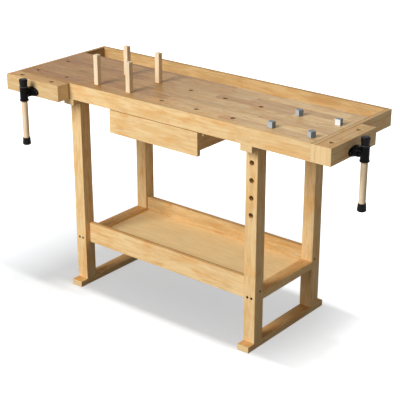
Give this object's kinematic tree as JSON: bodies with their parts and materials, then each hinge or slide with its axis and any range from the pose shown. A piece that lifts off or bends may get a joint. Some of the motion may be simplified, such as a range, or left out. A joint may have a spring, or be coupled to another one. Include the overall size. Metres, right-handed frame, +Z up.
{
  "type": "workbench",
  "caption": "Wooden joiner's workbench with a front vise, an end vise, dog holes, pegs, a drawer, a tool tray and a low shelf on trestle legs.",
  "frame": {"origin": "middle of the whole outline, handles included, on the floor", "axes": "+X to the right along the bench towards the end vise, +Y from the front vise to the back, +Z up"},
  "size_m": [1.5, 0.602, 0.964],
  "materials": {
    "bench_wood": "clear lacquered hardwood with straight grain and finger joints",
    "plywood": "thin rotary-cut plywood, clear lacquer",
    "drawer_wood": "clear lacquered hardwood",
    "peg_wood": "plain sanded hardwood",
    "handle_wood": "turned hardwood, clear lacquer",
    "black_iron": "black powder-coated casting",
    "nut_iron": "plain grey casting",
    "bright_steel": "turned steel, lightly oiled",
    "bolt_steel": "bronze-toned plated steel",
    "black_rubber": "moulded matt rubber",
    "dog_metal": "satin machined steel"
  },
  "bodies": {
    "bench": {"top_slab": "bench_wood", "front_apron": "bench_wood", "left_end_cap": "bench_wood", "right_end_cap": "bench_wood", "back_board": "bench_wood", "tray_front_rail": "bench_wood", "tray_floor": "plywood", "slab_bearers": "bench_wood", "vise_nut_blocks": "nut_iron", "nut_block_screws": "bolt_steel", "left_foot": "bench_wood", "left_head_rail": "bench_wood", "left_side_rail": "bench_wood", "left_front_leg": "bench_wood", "left_back_leg": "bench_wood", "right_foot": "bench_wood", "right_head_rail": "bench_wood", "right_side_rail": "bench_wood", "right_front_leg": "bench_wood", "right_back_leg": "bench_wood", "shelf_front_rail": "bench_wood", "shelf_back_rail": "bench_wood", "shelf_panel": "plywood", "shelf_cleats": "bench_wood", "barrel_nuts": "bolt_steel", "left_drawer_runner": "bench_wood", "right_drawer_runner": "bench_wood", "side_rail_bolts": "bolt_steel", "shelf_rail_bolts": "bolt_steel", "top_bolts": "bolt_steel"},
    "drawer": {"drawer_front": "drawer_wood", "drawer_left_side": "drawer_wood", "drawer_right_side": "drawer_wood", "drawer_back": "drawer_wood", "drawer_bottom": "plywood", "drawer_strips": "drawer_wood"},
    "front_jaw_group": {"front_vise_jaw": "bench_wood", "front_vise_guide_rods": "bright_steel", "front_vise_flange": "black_iron"},
    "front_screw_group": {"front_vise_screw": "bright_steel", "front_vise_collar": "bright_steel", "front_vise_hub": "black_iron"},
    "front_bar_group": {"front_vise_bar": "handle_wood", "front_vise_bar_caps": "black_rubber"},
    "end_jaw_group": {"end_vise_jaw": "bench_wood", "end_vise_guide_rods": "bright_steel", "end_vise_flange": "black_iron"},
    "end_screw_group": {"end_vise_screw": "bright_steel", "end_vise_collar": "bright_steel", "end_vise_hub": "black_iron"},
    "end_bar_group": {"end_vise_bar": "handle_wood", "end_vise_bar_caps": "black_rubber"},
    "peg_front_left_body": {"peg_front_left": "peg_wood"},
    "peg_front_right_body": {"peg_front_right": "peg_wood"},
    "peg_back_left_body": {"peg_back_left": "peg_wood"},
    "peg_back_right_body": {"peg_back_right": "peg_wood"},
    "dog_front_left_body": {"dog_front_left": "dog_metal"},
    "dog_front_right_body": {"dog_front_right": "dog_metal"},
    "dog_back_left_body": {"dog_back_left": "dog_metal"},
    "dog_back_right_body": {"dog_back_right": "dog_metal"}
  },
  "joints": [
    {"name": "drawer_slide", "type": "slide", "parent": "bench", "child": "drawer", "axis": [0, -1, 0], "range_m": [0, 0.25]},
    {"name": "front_jaw_slide", "type": "slide", "parent": "bench", "child": "front_jaw_group", "axis": [0, -1, 0], "range_m": [0, 0.1013]},
    {"name": "front_screw_turn", "type": "hinge", "parent": "front_jaw_group", "child": "front_screw_group", "pos_m": [-0.61, -0.181, 0.806], "axis": [0, -1, 0], "range_deg": [0, 7290]},
    {"name": "front_bar_slide", "type": "slide", "parent": "front_screw_group", "child": "front_bar_group", "axis": [0, 0, 1], "range_m": [0, 0.145]},
    {"name": "end_jaw_slide", "type": "slide", "parent": "bench", "child": "end_jaw_group", "axis": [1, 0, 0], "range_m": [0, 0.1013]},
    {"name": "end_screw_turn", "type": "hinge", "parent": "end_jaw_group", "child": "end_screw_group", "pos_m": [0.63, -0.0435, 0.806], "axis": [1, 0, 0], "range_deg": [0, 7290]},
    {"name": "end_bar_slide", "type": "slide", "parent": "end_screw_group", "child": "end_bar_group", "axis": [0, 0, 1], "range_m": [0, 0.145]},
    {"name": "peg_front_left_lift", "type": "slide", "parent": "bench", "child": "peg_front_left_body", "axis": [0, 0, 1], "range_m": [0, 0.04]},
    {"name": "peg_front_right_lift", "type": "slide", "parent": "bench", "child": "peg_front_right_body", "axis": [0, 0, 1], "range_m": [0, 0.04]},
    {"name": "peg_back_left_lift", "type": "slide", "parent": "bench", "child": "peg_back_left_body", "axis": [0, 0, 1], "range_m": [0, 0.04]},
    {"name": "peg_back_right_lift", "type": "slide", "parent": "bench", "child": "peg_back_right_body", "axis": [0, 0, 1], "range_m": [0, 0.04]},
    {"name": "dog_front_left_lift", "type": "slide", "parent": "bench", "child": "dog_front_left_body", "axis": [0, 0, 1], "range_m": [0, 0.04]},
    {"name": "dog_front_right_lift", "type": "slide", "parent": "bench", "child": "dog_front_right_body", "axis": [0, 0, 1], "range_m": [0, 0.04]},
    {"name": "dog_back_left_lift", "type": "slide", "parent": "bench", "child": "dog_back_left_body", "axis": [0, 0, 1], "range_m": [0, 0.04]},
    {"name": "dog_back_right_lift", "type": "slide", "parent": "bench", "child": "dog_back_right_body", "axis": [0, 0, 1], "range_m": [0, 0.04]}
  ],
  "couplings": [
    {"joint": "front_jaw_slide", "follows": "front_screw_turn", "m_per_rad": 0.00079577},
    {"joint": "end_jaw_slide", "follows": "end_screw_turn", "m_per_rad": 0.00079577}
  ]
}
